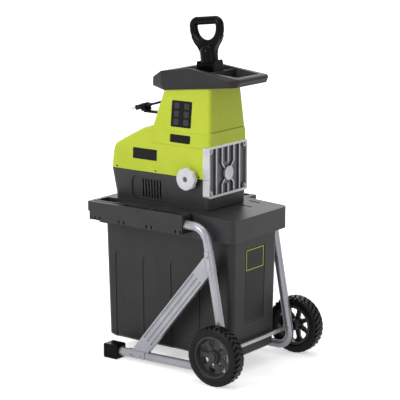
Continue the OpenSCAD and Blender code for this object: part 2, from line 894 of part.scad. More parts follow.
// Upright snap tab inside the seam
module seam_tabs() {
    face = house_hw - housing_wall - 2 * slide_gap;
    for (x = tab_xs) {
        box([x - 5, -face, seam_z - 14], [x + 5, 2.2 - face, seam_z + 12]);
        box([x - 5, -face - 1.2, seam_z - 14], [x + 5, 2.2 - face, seam_z - 3]);
    }
}

module at_base_bolts() {
    for (x = [-250, 50], y = [-78, 78]) translate([x, y, 0]) children();
}

module motor_base() {
    recess = housing_wall;
    color([0.14, 0.14, 0.15]) difference() {
        union() {
            difference() {
                base_form(0, deck_z, seam_z);
                difference() {
                    base_form(housing_wall, deck_z + base_floor, seam_z + 1);
                    both_sides() vent_panel(housing_wall);
                }
                base_form(housing_wall + recess, deck_z + base_floor, seam_z + 1);
            }
            both_sides() seam_tabs();
            at_base_bolts() translate([0, 0, deck_z + 1]) cylinder(d = 3 * bolt_d, h = 24);
        }
        both_sides() {
            difference() {
                vent_panel(0);
                base_form(recess, deck_z - 2, seam_z + 2);
            }
            vent_slots();
        }
        cover_room();
        bush_room();
        at_base_bolts() translate([0, 0, deck_z - over]) cylinder(d = bolt_d + 2 * seat_gap, h = 20);
        box([throat_x0 - 4 - seat_gap, -throat_hw - seat_gap, deck_z - over],
            [throat_x1 + seat_gap, throat_hw + seat_gap, deck_z + base_floor + over]);
    }
}

module base_bolts() {
    under = deck_z - deck_t;
    color("silver") at_base_bolts() {
        translate([0, 0, under]) cylinder(d = bolt_d, h = 20);
        translate([0, 0, under - 4]) cylinder(d = 1.9 * bolt_d, h = 4, $fn = 6);
    }
}

module upper_housing() {
    color([0.69, 0.78, 0.15]) difference() {
        union() {
            hump_form(0, 0);
            neck_form(0);
        }
        hump_form(housing_wall, over);
        neck_form(housing_wall);
        above_neck(-seat_gap);
        cover_room();
        bush_room();
        box([-overall_l, -track_w, 0], [overall_l, track_w, seam_z + seam_gap]);
        both_sides() for (x = tab_xs) box([x - 4, -house_hw - over, seam_z + 4],
            [x + 4, 2 * housing_wall - house_hw, seam_z + 9]);
    }
}

// Cast end cover with ribs, a bearing seat inside and four screws

module cover_block(inset, x0, x1) {
    along_x(x0, 0, 0) linear_extrude(x1 - x0)
        rounded(inset - cover_hw, cover_hw - inset, cover_z0 + inset, cover_z1 - inset, max(8 - inset, 3));
}

module at_cover_screws() {
    for (y = [-1, 1], z = [-1, 1]) translate([0, y * cover_screw_y, cover_mid + z * cover_screw_z]) children();
}

module cover_ribs(x0, x1) {
    gap = 34;
    rib = 5;
    step = 31;
    for (y = [-2, 2]) box([x0, y * step - rib / 2, cover_z0 + 2], [x1, y * step + rib / 2, cover_z1 - 2]);
    for (y = [-1, 0, 1]) {
        box([x0, y * step - rib / 2, drum_z + gap], [x1, y * step + rib / 2, cover_z1 - 2]);
        box([x0, y * step - rib / 2, cover_z0 + 2], [x1, y * step + rib / 2, drum_z - gap]);
    }
    arm = norm([step, gap]) + 2;
    for (y = [-1, 1], z = [-1, 1]) translate([x0, 0, drum_z]) rotate([-z * y * atan2(step, gap), 0, 0])
        translate([0, -rib / 2, z > 0 ? 0 : -arm]) cube([x1 - x0 - 1, rib, arm]);
}

module end_cover() {
    face = cover_x1 - cover_field;
    color([0.72, 0.73, 0.74]) difference() {
        union() {
            difference() {
                cover_block(0, cover_x0, cover_x1);
                cover_block(cover_wall, cover_x0 - over, cover_x1 - cover_face);
                cover_block(cover_rim, face, cover_x1 + over);
            }
            intersection() {
                cover_ribs(face - 1, cover_x1 - 1);
                cover_block(cover_wall, face - 1, cover_x1);
            }
            along_x(face - 1, 0, drum_z) cylinder(d = 44, h = cover_x1 + 4 - face);
            along_x(cover_bearing_x - over, 0, drum_z) cylinder(d = bearing_od + 12, h = face - cover_bearing_x + over);
            at_cover_screws() along_x(cover_x0 + 6, 0, 0) cylinder(d = 18, h = cover_x1 - cover_x0 - 8);
        }
        along_x(cover_bearing_x - 2 * over, 0, drum_z)
            cylinder(d = bearing_od + 2 * seat_gap, h = bearing_w + seat_gap + 2 * over);
        at_cover_screws() along_x(cover_x0, 0, 0) cylinder(d = screw_d + 2 * seat_gap, h = 2 * cover_x1);
        both_sides() box([cover_x0 - over, -cover_hw - over, seam_z - 1], [cover_x1 + over, 1.2 - cover_hw, seam_z + 1]);
    }
}

module cover_screws() {
    head = cover_x1 - 2 + seat_gap;
    color("dimgray") at_cover_screws() {
        along_x(cover_x0 + 2, 0, 0) cylinder(d = screw_d, h = head - cover_x0 - 1);
        along_x(head, 0, 0) difference() {
            cylinder(d = 2 * screw_d, h = 4);
            translate([0, 0, 2]) cylinder(d = screw_d, h = 4, $fn = 6);
        }
    }
}

// Chip path: throat over the drum, chute under it

module discharge_chute() {
    wall = throat_wall;
    x0 = throat_x0 - 4;
    floor_z = deck_z + base_floor;
    color([0.16, 0.16, 0.17]) difference() {
        union() {
            box([x0, -throat_hw, deck_z - 28], [throat_x1, throat_hw, floor_z + 34]);
            box([x0 - 4, -throat_hw - 8, floor_z], [throat_x1 + 8, throat_hw + 8, floor_z + 3]);
        }
        box([x0 + wall, wall - throat_hw, deck_z - 29], [throat_x1 - wall, throat_hw - wall, floor_z + 35]);
    }
}

module feed_throat() {
    wall = throat_wall;
    low = drum_z + drum_r + 5;
    color([0.16, 0.16, 0.17]) difference() {
        box([throat_x0 - wall, -throat_hw - wall, low], [throat_x1 + wall, throat_hw + wall, neck_top_z + 20]);
        box([throat_x0, -throat_hw, low - over], [throat_x1, throat_hw, neck_top_z + 30]);
        above_neck(-seat_gap);
    }
}

// Cutting drum and gear train

module cutting_drum() {
    core = drum_d - 24;
    color("dimgray") along_x(drum_x0, 0, drum_z) difference() {
        union() {
            cylinder(d = core, h = drum_l);
            for (i = [0 : drum_teeth - 1]) rotate(i * 360 / drum_teeth) linear_extrude(drum_l)
                polygon([[core / 2 - 3, -9], [drum_r - 2, 1], [drum_r - 0.5, 5], [core / 2 - 3, 7]]);
        }
        translate([0, 0, -over]) cylinder(d = shaft_d + 2 * run_gap, h = drum_l + 2 * over);
    }
}

module drum_shaft() {
    x0 = drum_gear_x0 - 2;
    color("silver") along_x(x0, 0, drum_z) cylinder(d = shaft_d, h = cover_bearing_x + bearing_w - x0);
}

// Spur gear outline with its first tooth on the +X side
module gear_outline(teeth, size) {
    r = teeth * size / 2;
    tip = r + 0.8 * size;
    root = r - 1.25 * size;
    step = 360 / teeth;
    polygon([
        for (i = [0 : teeth - 1], k = [[root, -0.28], [tip, -0.1], [tip, 0.1], [root, 0.28]])
            k[0] * [cos((i + k[1]) * step), sin((i + k[1]) * step)]
    ]);
}

module drum_gear() {
    color("goldenrod") along_x(drum_gear_x0, 0, drum_z) difference() {
        linear_extrude(drum_gear_w) rotate(60) gear_outline(gear_teeth, drum_module);
        translate([0, 0, -over]) cylinder(d = shaft_d + 2 * run_gap, h = drum_gear_w + 2 * over);
    }
}

module drum_bearings() {
    color("silver") for (x = [case_x1 - bearing_w, cover_bearing_x]) along_x(x, 0, drum_z)
        ring(bearing_od, shaft_d + 2 * run_gap, bearing_w);
}

module case_outline(inset) {
    rounded(case_y0 + inset, case_y1 - inset, case_z0 + inset, case_z1 - inset, 10 - inset);
}

module gear_case() {
    depth = case_x1 - case_wall - case_x0;
    foot_z = deck_z + base_floor;
    color("darkgray") difference() {
        union() {
            along_x(case_x0, 0, 0) linear_extrude(case_x1 - case_x0) case_outline(0);
            for (y = [case_y0 + 4, case_y1 - 24]) box([case_x0 + 4, y, foot_z], [case_x1 - 8, y + 20, case_z0 + 1]);
        }
        along_x(case_x0 - over, 0, 0) linear_extrude(depth + over) case_outline(case_skin);
        along_x(case_x0, 0, drum_z) cylinder(d = bearing_od + 2 * seat_gap, h = case_x1 - case_x0 + over);
        along_x(case_x0, idler_y, idler_z) cylinder(d = idler_pin_d + 2 * run_gap, h = depth + 8.5);
    }
}

module gear_cover() {
    color("darkgray") difference() {
        along_x(cover_plate_x0, 0, 0) linear_extrude(case_x0 - seat_gap - cover_plate_x0) case_outline(0);
        along_x(cover_plate_x0 - over, 0, motor_z) cylinder(d = motor_bearing_d + 2 * seat_gap, h = 20);
        along_x(case_x0 - 8, idler_y, idler_z) cylinder(d = idler_pin_d + 2 * run_gap, h = 20);
    }
}

module idler_gear() {
    x0 = case_x0 - 7.5;
    x1 = case_x1 - case_wall + 8;
    color("goldenrod") {
        along_x(x0, idler_y, idler_z) cylinder(d = idler_pin_d, h = x1 - x0);
        along_x(motor_gear_x0, idler_y, idler_z) linear_extrude(motor_gear_w)
            rotate(motor_turn) gear_outline(gear_teeth, motor_module);
        along_x(motor_gear_x0 + motor_gear_w, idler_y, idler_z)
            cylinder(d = 14, h = drum_gear_x0 - motor_gear_x0 - motor_gear_w);
        along_x(drum_gear_x0, idler_y, idler_z) linear_extrude(drum_gear_w)
            rotate(240 + 180 / pinion_teeth) gear_outline(pinion_teeth, drum_module);
    }
}

module motor_pinion() {
    color("goldenrod") along_x(motor_gear_x0, 0, motor_z) linear_extrude(motor_gear_w)
        rotate(motor_turn + 180 + 180 / pinion_teeth) gear_outline(pinion_teeth, motor_module);
}

module motor_can() {
    wall_t = 6;
    boss_t = 4;
    color("gray") along_x(motor_can_x0, 0, motor_z) difference() {
        union() {
            cylinder(d = motor_can_d, h = motor_can_l - seat_gap);
            translate([0, 0, -boss_t]) cylinder(d = motor_bearing_d + 12, h = boss_t + 1);
        }
        translate([0, 0, wall_t]) cylinder(d = motor_can_d - 2 * motor_can_t, h = motor_can_l);
        translate([0, 0, -boss_t - over]) cylinder(d = motor_bearing_d + 2 * seat_gap, h = 20);
    }
}

module stator_core() {
    color("dimgray") along_x(stator_x0, 0, motor_z) difference() {
        cylinder(d = motor_can_d - 2 * motor_can_t - 2 * seat_gap, h = stator_l);
        translate([0, 0, -over]) cylinder(d = stator_id, h = stator_l + 2 * over);
        for (i = [0 : 23]) rotate(i * 15) translate([stator_id / 2 + 2, -2.5, -over])
            cube([12, 5, stator_l + 2 * over]);
    }
}

module stator_windings() {
    color("peru") for (x = [stator_x0 - 8, stator_x0 + stator_l]) along_x(x, 0, motor_z) ring(110, stator_id + 6, 8);
}

module motor_rotor() {
    x0 = motor_can_x0 - 28;
    color("silver") {
        along_x(stator_x0, 0, motor_z) cylinder(d = stator_id - 1, h = stator_l);
        along_x(x0, 0, motor_z) cylinder(d = motor_shaft_d, h = motor_gear_x0 - x0);
    }
}

module motor_bearings() {
    color("silver") for (x = [motor_can_x0 - 3, cover_plate_x0 + 1]) along_x(x, 0, motor_z)
        ring(motor_bearing_d, motor_shaft_d + 2 * run_gap, 8);
}

module cooling_fan() {
    fan_d = 96;
    hub = 28;
    color([0.1, 0.1, 0.1]) along_x(motor_can_x0 - 24, 0, motor_z) difference() {
        union() {
            cylinder(d = hub, h = 14);
            cylinder(d = fan_d, h = 2);
            for (i = [0 : 8]) rotate(i * 40) translate([hub / 2 - 1, -1, 1]) cube([(fan_d - hub) / 2, 2, 12]);
        }
        translate([0, 0, -over]) cylinder(d = motor_shaft_d + 2 * run_gap, h = 16);
    }
}

module run_capacitor() {
    d = 40;
    color("lightgray") along_x(-200, 70, deck_z + base_floor + d / 2 + slide_gap) {
        cylinder(d = d, h = 84);
        translate([0, 0, 84]) cylinder(d = d - 8, h = 6);
    }
}

// Adjusting knob, spindle and pressure plate

module spindle_bush() {
    color("gray") along_y(knob_x, bush_y0, knob_z) difference() {
        union() {
            cylinder(d = bush_d, h = bush_y1 - bush_y0);
            translate([0, 0, bush_flange - bush_y0]) cylinder(d = bush_d + 10, h = 4);
        }
        translate([0, 0, -over]) cylinder(d = spindle_d + 2 * run_gap, h = bush_y1 - bush_y0 + 2 * over);
    }
}

module adjusting_knob() {
    lobe_r = 30;
    lobe_depth = 2.2;
    disc_t = 15;
    color([0.7, 0.71, 0.72]) along_y(knob_x, knob_y0, knob_z) difference() {
        union() {
            cylinder(d1 = knob_d - 6, d2 = knob_d, h = 3);
            translate([0, 0, 3]) cylinder(d = knob_d, h = disc_t - 3);
            translate([0, 0, disc_t - over]) cylinder(d = knob_d - 28, h = knob_t - disc_t + over);
        }
        for (i = [0 : knob_lobes - 1]) rotate((i + 0.5) * 360 / knob_lobes)
            translate([knob_d / 2 + lobe_r - lobe_depth, 0, -over]) cylinder(r = lobe_r, h = disc_t + over);
        translate([0, 0, -over]) cylinder(d = screw_head + 3, h = 5 + over);
        translate([0, 0, -over]) cylinder(d = 6 + 2 * seat_gap, h = knob_t + over);
        translate([0, 0, knob_t - 12]) cylinder(d = spindle_d + 2 * seat_gap, h = 12 + over);
    }
}

module knob_screw() {
    color("dimgray") along_y(knob_x, knob_y0 + 1, knob_z) difference() {
        union() {
            cylinder(d = screw_head, h = 4 - seat_gap);
            cylinder(d = 6, h = knob_t - 3);
        }
        translate([0, 0, -over]) cylinder(d = screw_head / 2, h = 3, $fn = 6);
    }
}

module adjusting_spindle() {
    y0 = knob_y1 - 12 + seat_gap;
    y1 = press_y0 - 4;
    color("silver") along_y(knob_x, y0, knob_z) difference() {
        cylinder(d = spindle_d, h = y1 - y0);
        translate([0, 0, -over]) cylinder(d = 6 + 2 * seat_gap, h = 12 + over);
    }
}

module pressure_plate() {
    color("gainsboro") difference() {
        union() {
            box([press_x0, press_y0, knob_z - 34], [press_x1, press_y1, knob_z - 34 + press_h]);
            along_y(knob_x, press_y0 - press_boss, knob_z) cylinder(d = 2 * spindle_d, h = press_boss + 1);
        }
        along_y(knob_x, press_y0 - press_boss - over, knob_z)
            cylinder(d = spindle_d + 2 * run_gap, h = press_boss + over + 9);
        for (z = [-20, 0, 20, 40]) box([press_x0 - over, press_y1 - 1.5, knob_z + z], [press_x1 + over, press_y1 + over, knob_z + z + 5]);
    }
}

// Hopper, standing on the sloping top of the neck

module in_hopper() {
    translate([hopper_x, 0, hopper_z]) rotate([0, -hopper_tilt, 0]) children();
}

module cross_bar(x, z, hw, r) {
    along_y(x, -hw, z) cylinder(r = r, h = 2 * hw, $fn = 24);
}

module hopper_form() {
    hull() {
        slab(2, hopper_len - 2, hopper_hw - 8, 14, 0);
        translate([0, 0, 14]) linear_extrude(8) offset(r = 8, $fn = 32) polygon([
            [-38, 30 - hopper_hw], [10, 8 - hopper_hw], [262, 8 - hopper_hw], [285, 25 - hopper_hw],
            [285, hopper_hw - 25], [262, hopper_hw - 8], [10, hopper_hw - 8], [-38, hopper_hw - 30]
        ]);
        for (b = hopper_bars) cross_bar(b[0], b[1], hopper_hw - b[2], b[3]);
    }
}

module hopper_well() {
    hull() {
        slab((throat_x0 - hopper_x) / cos(hopper_tilt), (throat_x1 - hopper_x) / cos(hopper_tilt),
            throat_hw, 6, -over);
        slab(36, 470, throat_hw + 34, 6, 84);
    }
}

module hopper() {
    color([0.2, 0.2, 0.22]) {
        difference() {
            in_hopper() hopper_form();
            difference() {
                in_hopper() hopper_well();
                in_hopper() box([172, -hopper_hw, 28], [180, hopper_hw, 47]);
                both_sides() box([plunger_x - 22, -hopper_hw, shelf_z - 8], [plunger_x + 22, 3 - throat_hw, shelf_z]);
            }
        }
    }
}

// Plunger, standing on the two shelves in the hopper and leaning to the left

module in_plunger() {
    translate([plunger_x, 0, plunger_z]) rotate([0, -plunger_lean, 0]) children();
}

module plunger_handle() {
    arm_x = grip_w / 2 - grip_d / 2;
    bar_x = arm_x - grip_bend + over;
    knuckle = 0.8;
    low = collar_h + seat_gap;
    color([0.05, 0.05, 0.05]) in_plunger() difference() {
        union() {
            rotate_extrude() polygon([
                [0, low], [26, low], [28, low + 2], [28, 66], [25, 76], [17, 86], [6, 89], [0, 89]
            ]);
            translate([0, 0, bow_z]) rotate([90, 0, 0]) rotate(180) rotate_extrude(angle = 180)
                translate([arm_x, 0]) circle(d = grip_d + knuckle);
            rod([-bar_x, 0, grip_z], [bar_x, 0, grip_z], grip_d);
            translate([0, web_t / 2, 0]) rotate([90, 0, 0]) linear_extrude(web_t) difference() {
                polygon([for (s = [1, -1]) for (i = [0 : len(web) - 1])
                    let (p = web[s > 0 ? i : len(web) - 1 - i]) [s * p.x, p.y]]);
                translate([0, bow_z]) circle(arm_x - grip_d / 3);
            }
            for (s = [0, 1]) mirror([s, 0, 0]) {
                rod([arm_x, 0, bow_z - over], [arm_x, 0, grip_z - grip_bend + over], grip_d);
                translate([arm_x - grip_bend, 0, grip_z - grip_bend]) rotate([90, 0, 0]) rotate_extrude(angle = 90)
                    translate([grip_bend, 0]) circle(d = grip_d + knuckle);
            }
        }
        translate([0, 0, collar_h - 2]) cylinder(d = 30 + 2 * seat_gap, h = 42);
    }
}

module plunger_pusher() {
    hx = 35;
    hy = 27;
    ear_t = 6;
    color([0.05, 0.05, 0.05]) {
        in_plunger() {
            linear_extrude(collar_h) rounded(-hx, hx, -hy, hy, 6);
            for (s = [-1, 1]) translate([s * (hx - ear_t / 2), 0, collar_h + 2])
                cube([ear_t, 2 * hy - 12, 12], center = true);
            translate([0, 0, collar_h - 2]) cylinder(d = 30, h = 40);
            box([-24, -pusher_w / 2, -pusher_l], [24, pusher_w / 2, 1]);
        }
        difference() {
            in_plunger() box([-18, -ear_w / 2, -34], [18, ear_w / 2, -12]);
            box([-overall_l, -track_w, 0], [overall_l, track_w, shelf_z + slide_gap]);
        }
    }
}

// Switch box with its buttons, on the neck's end wall

module button_at(y, z) {
    along_x(box_x0, y, z) children();
}

module switch_box() {
    room = 14;
    color([0.1, 0.1, 0.1]) difference() {
        along_x(box_x0, 0, 0) linear_extrude(box_x1 - box_x0) rounded(box_y0, box_y1, box_z0, box_z1, 8);
        neck_form(-seat_gap);
        for (y = [30, 64]) button_at(y, 830) translate([0, 0, -over])
            cylinder(d = button_d + 2 * seat_gap, h = room + over);
        button_at(38, 796) translate([0, 0, -over]) cylinder(d = 8 + 2 * run_gap, h = room + over);
        button_at(68, 796) translate([0, 0, -over]) cylinder(d = 8 + 2 * seat_gap, h = room + over);
    }
}

module push_button(d, y, z) {
    button_at(y, z) translate([0, 0, -button_out]) {
        cylinder(d1 = d - 3, d2 = d, h = 1.5);
        translate([0, 0, 1.5]) cylinder(d = d, h = button_out + 8 - 1.5);
    }
}

module start_button() {
    color("green") push_button(button_d, 30, 830);
}

module stop_button() {
    color("red") push_button(button_d, 64, 830);
}

module reset_button() {
    color("gray") push_button(8, 68, 796);
}

module direction_knob() {
    color([0.15, 0.15, 0.15]) button_at(38, 796) {
        translate([0, 0, -1]) cylinder(d = 8, h = 11);
        translate([0, 0, -6]) cylinder(d = 26, h = 6 - slide_gap);
        translate([-4, -13, -13]) cube([8, 26, 8]);
    }
}

// Power lead with its plug, in a holder on the neck

module cable_gland() {
    color([0.05, 0.05, 0.05]) difference() {
        translate([gland_x, box_y0, gland_z]) rotate([90 + lead_slope, 0, 0]) {
            translate([0, 0, -6]) cylinder(d = 20, h = 10);
            translate([0, 0, 4]) cylinder(d1 = 16, d2 = lead_d + 3, h = gland_l - 4);
        }
        box([-overall_l, box_y0, 0], [overall_l, track_w, 2 * deck_z]);
    }
}

function unit(v) = v / norm(v);
function heading(p, i) = unit(p[min(i + 1, len(p) - 1)] - p[max(i - 1, 0)]);

// Round tube swept along a route, closed at both ends
module swept_tube(route, d, sides) {
    n = len(route);
    points = [
        for (i = [0 : n - 1]) let (t = heading(route, i), u = unit(cross(t, [0, 0, 1])), w = cross(u, t))
            for (k = [0 : sides - 1]) route[i] + d / 2 * (cos(k * 360 / sides) * u + sin(k * 360 / sides) * w)
    ];
    walls = [
        for (i = [0 : n - 2], k = [0 : sides - 1]) let (a = i * sides + k, b = i * sides + (k + 1) % sides)
            [a, a + sides, b + sides, b]
    ];
    first = [for (k = [0 : sides - 1]) k];
    last = [for (k = [sides - 1 : -1 : 0]) (n - 1) * sides + k];
    polyhedron(points, concat(walls, [first, last]));
}

module power_lead() {
    color([0.05, 0.05, 0.05]) swept_tube(lead_route, lead_d, 10);
}

module in_plug() {
    translate(plug_at) rotate([0, -lead_slope, 0]) children();
}

module plug_slab(x0, x1, hw, hz, r) {
    along_x(x0, 0, 0) linear_extrude(x1 - x0) rounded(-hw, hw, -hz, hz, r);
}

module plug_body() {
    grip_x = -tail_l - plug_grip_l;
    color([0.05, 0.05, 0.05]) in_plug() {
        rotate([0, -90, 0]) cylinder(d1 = lead_d + 3, d2 = 15, h = tail_l);
        plug_slab(grip_x, -tail_l, 12, 9.5, 5);
        plug_slab(grip_x - plug_nose_l, grip_x, 15, 8, 4);
    }
}

module plug_pins() {
    x0 = -tail_l - plug_grip_l - plug_nose_l;
    color("silver") in_plug() for (y = [-9.5, 9.5]) translate([x0, y, 0]) rotate([0, -90, 0]) cylinder(d = 4.8, h = pin_l);
}

module plug_holder() {
    hold_x = over - tail_l - plug_grip_l;
    color([0.1, 0.1, 0.1]) difference() {
        union() {
            in_plug() {
                box([hold_x, -16, -15], [-tail_l, 16, -9.5 - slide_gap]);
                for (s = [-1, 1]) box([hold_x, s * 14.2 - 1.8, -15], [-tail_l, s * 14.2 + 1.8, 2]);
            }
            box([plug_at.x - 24, plug_at.y - 8, 791], [neck_top_x0, plug_at.y + 8, 799]);
        }
        neck_form(-seat_gap);
    }
}

module near_side_tube() side_tube();
module far_side_tube() far_side() side_tube();
module near_brace() brace();
module far_brace() far_side() brace();
module near_foot_cap() foot_cap();
module far_foot_cap() far_side() foot_cap();
module near_rim() rim();
module near_tyre() tyre();
module far_rim() far_side() rim();
module far_tyre() far_side() tyre();

near_side_tube();
far_side_tube();
near_brace();
far_brace();
brace_screws();
near_foot_cap();
far_foot_cap();
wheel_axle();
axle_spacers();
axle_caps();
near_rim();
near_tyre();
far_rim();
far_tyre();
cover_plate();
deck_cups();
plate_bolts();
chip_bin();
bin_floor();
bin_grip();
motor_base();
upper_housing();
base_bolts();
end_cover();
cover_screws();
discharge_chute();
feed_throat();
cutting_drum();
drum_shaft();
drum_gear();
drum_bearings();
gear_case();
gear_cover();
idler_gear();
motor_can();
stator_core();
stator_windings();
motor_rotor();
motor_pinion();
motor_bearings();
cooling_fan();
run_capacitor();
spindle_bush();
adjusting_knob();
knob_screw();
adjusting_spindle();
pressure_plate();
hopper();
plunger_handle();
plunger_pusher();
switch_box();
start_button();
stop_button();
direction_knob();
reset_button();
cable_gland();
power_lead();
plug_body();
plug_pins();
plug_holder();
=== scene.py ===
# %% [markdown]
# # A garden shredder, dressed
# The solids of this machine come packed: every bolt, gear and shell is already in place, in metres,
# with +Z up and +X towards the wheels. This lesson sets up a camera and soft light, gives each
# material its grain and gloss, and adds the thin things that a solid model leaves out.

# %% Load the solids
import bpy
import bmesh
import math
from mathutils import Matrix, Vector
from mathutils.bvhtree import BVHTree


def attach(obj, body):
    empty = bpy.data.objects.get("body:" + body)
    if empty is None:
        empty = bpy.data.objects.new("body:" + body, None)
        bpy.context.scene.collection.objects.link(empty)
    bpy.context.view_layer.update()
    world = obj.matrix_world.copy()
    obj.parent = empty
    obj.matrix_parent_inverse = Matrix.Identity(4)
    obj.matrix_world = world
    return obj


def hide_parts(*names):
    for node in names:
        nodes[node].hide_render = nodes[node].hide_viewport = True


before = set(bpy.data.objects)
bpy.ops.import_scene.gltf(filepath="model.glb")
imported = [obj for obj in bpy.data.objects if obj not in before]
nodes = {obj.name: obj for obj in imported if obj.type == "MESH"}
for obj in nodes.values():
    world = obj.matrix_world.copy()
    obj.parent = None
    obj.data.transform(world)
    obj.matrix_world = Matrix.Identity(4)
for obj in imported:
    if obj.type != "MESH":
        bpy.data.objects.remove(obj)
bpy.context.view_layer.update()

# %% [markdown]
# ## Camera
# The picture was taken with a long lens, from a little above and to the right of the knob side.
# A long lens far away keeps upright edges almost parallel, as they are in the picture, so the camera
# stands more than five metres off and a 152 mm lens brings the machine close again.

# %% Camera
AZIMUTH = math.radians(36.55)
ELEVATION = math.radians(11.96)
DISTANCE = 5.380
TARGET = Vector((-0.010, 0.0, 0.5137))


def shown(name, data):
    """A new object in the scene that shows the given camera, light, curve or mesh."""
    made = bpy.data.objects.new(name, data)
    bpy.context.scene.collection.objects.link(made)
    return made


def facing(direction):
    """The turn that points a camera or a lamp along a direction."""
    return direction.to_track_quat("-Z", "Y").to_euler()


towards_camera = Vector((
    math.sin(AZIMUTH) * math.cos(ELEVATION),
    -math.cos(AZIMUTH) * math.cos(ELEVATION),
    math.sin(ELEVATION),
))
lens = bpy.data.cameras.new("camera")
lens.lens = 152.3
lens.sensor_width = 36.0
camera = shown("camera", lens)
camera.location = TARGET + DISTANCE * towards_camera
camera.rotation_euler = facing(-towards_camera)
bpy.context.scene.camera = camera
print("camera at", [round(v, 3) for v in camera.location])

# %% [markdown]
# ## Shader maths
# A procedural finish is mostly arithmetic: noise times a strength, plus a level. Written as nodes that
# is hard to read, so one small class wraps a node's output and lets Python's own operators add the
# Math nodes. Any other node comes from its node() method: settings first, then what goes into the
# sockets, by name or, where names repeat, by number as i0, i1 and so on.

# %% A socket that can be calculated with
class Wire:
    def __init__(self, tree, socket):
        self.tree = tree
        self.socket = socket

    def node(self, kind, settings=None, out=0, **inputs):
        made = self.tree.nodes.new("ShaderNode" + kind)
        for name, value in (settings or {}).items():
            setattr(made, name, value)
        for name, value in inputs.items():
            numbered = name[0] == "i" and name[1:].isdigit()
            socket = made.inputs[int(name[1:]) if numbered else name.replace("_", " ")]
            if isinstance(value, Wire):
                self.tree.links.new(value.socket, socket)
            else:
                socket.default_value = value
        return Wire(self.tree, made.outputs[out])

    def math(self, operation, a, b):
        return self.node("Math", {"operation": operation}, i0=a, i1=b)

    def __add__(self, other):
        return self.math("ADD", self, other)

    def __mul__(self, other):
        return self.math("MULTIPLY", self, other)

    def __sub__(self, other):
        return self.math("SUBTRACT", self, other)

    def __rsub__(self, other):
        return self.math("SUBTRACT", other, self)

    def __gt__(self, other):
        return self.math("GREATER_THAN", self, other)

    def __lt__(self, other):
        return self.math("LESS_THAN", self, other)

    __radd__ = __add__
    __rmul__ = __mul__

    def noise(self, size, detail):
        return self.node("TexNoise", Vector=self, Scale=1.0 / size, Detail=detail)

    def hollows(self, reach):
        """1 deep in the corners and grooves of a piece, 0 on its open faces."""
        outward = {"only_local": True, "samples": 8}
        return 1.0 - self.node("AmbientOcclusion", outward, out="AO", Distance=reach)

    def edges(self, reach):
        """1 on the outer edges of a piece, 0 on its faces; the reach stays below the wall."""
        inward = {"only_local": True, "inside": True, "samples": 8}
        return 1.0 - self.node("AmbientOcclusion", inward, out="AO", Distance=reach)

    def axis(self, name):
        return self.node("SeparateXYZ", out="XYZ".index(name), Vector=self)

    def ramp(self, low, high):
        return self.node("MapRange", {"clamp": True}, Value=self, From_Min=low, From_Max=high)

    def mix(self, low, high):
        """A colour between two; sockets 6, 7 and 2 are the Mix node's colours A, B and Result."""
        return self.node("Mix", {"data_type": "RGBA"}, out=2, i0=self, i6=low, i7=high)


def linear(red, green, blue):
    """A colour as a screen shows it, 0 to 255, in the linear values that shaders use."""
    def one(v):
        v = v / 255.0
        return v / 12.92 if v <= 0.04045 else ((v + 0.055) / 1.055) ** 2.4
    return (one(red), one(green), one(blue), 1.0)


print("Wire overloads + - * < > and adds noise, hollows, edges, axis, ramp and mix")

# %% [markdown]
# ## Moulded and painted finishes
# Nothing on a real machine has one flat colour. Moulded plastic has a spark-eroded grain a fraction of
# a millimetre across and drifts a little in tone where the melt cooled unevenly. The grooves are darkened
# with painted shade, and the edges are painted paler, partly for wear and partly as a painted highlight.
# One recipe covers all the finishes: two close shades mixed by a broad noise, a roughness that wanders, a
# fine bump, and two masks that Blender finds by feeling outwards for grooves and inwards for edges.
# They read the piece alone, so they stay with it when it moves.

# %% The common recipe
GROOVE_REACH = 0.005
EDGE_REACH = 0.0014
BROAD_SHARE = 0.75
# Edges are painted paler by this factor: partly wear, partly a painted highlight.
WEAR_AND_HIGHLIGHT_PALER = 3.0
# Grooves and corners are painted darker by this factor: painted shade.
GROOVE_DARKER = 0.12


def place_on(tree, coordinates):
    """Where a shader stands on the piece, or in the sky, as a Wire."""
    return Wire(tree, tree.nodes.new("ShaderNodeTexCoord").outputs[coordinates])


def scaled(colour, factor):
    return (*(factor * v for v in colour[:3]), 1.0)


def grained(name, dark, light, drift=0.09, rough=(0.4, 0.5), grain=0.0008, depth=0.00004,
            shade=0.8, rub_and_highlight=0.3, tint_patch=None, **constants):
    """Two shades, wandering roughness and a fine bump; constants go on the shader's own sockets.

    shade sets how much painted shade darkens the grooves, and the edge amount how much paler the edges
    are painted, partly as wear and partly as a painted highlight.
    A tinted patch is a colour and a function that says from a place how much of it shows there."""
    material = bpy.data.materials.new(name)
    material.use_nodes = True
    tree = material.node_tree
    shader = tree.nodes["Principled BSDF"]
    here = place_on(tree, "Object")
    broad = here.noise(drift, 3.0).ramp(0.35, 0.65)
    fine = here.noise(grain, 2.0)
    colour = (broad * BROAD_SHARE + fine * (1.0 - BROAD_SHARE)).mix(dark, light)
    if tint_patch:
        tint, amount = tint_patch
        colour = amount(here).mix(colour, tint)
    # Paler edges: partly wear, partly a painted highlight.
    if rub_and_highlight:
        wear_and_edge_highlight = here.edges(EDGE_REACH).ramp(0.1, 0.5) * rub_and_highlight
        colour = wear_and_edge_highlight.mix(colour, scaled(light, WEAR_AND_HIGHLIGHT_PALER))
    # Painted shade: grooves and corners are darkened towards a near-black tone.
    if shade:
        painted_groove_shade = here.hollows(GROOVE_REACH).ramp(0.02, 0.4) * shade
        colour = painted_groove_shade.mix(colour, scaled(dark, GROOVE_DARKER))
    roughness = rough[0] + (rough[1] - rough[0]) * fine
    bump = here.node("Bump", Height=fine, Strength=0.5, Distance=depth)
    for socket, wire in (("Base Color", colour), ("Roughness", roughness), ("Normal", bump)):
        tree.links.new(wire.socket, shader.inputs[socket])
    for socket, value in constants.items():
        shader.inputs[socket.replace("_", " ")].default_value = value
    return material


print("a groove is felt", 1000 * GROOVE_REACH, "mm out and an edge", 1000 * EDGE_REACH, "mm in")

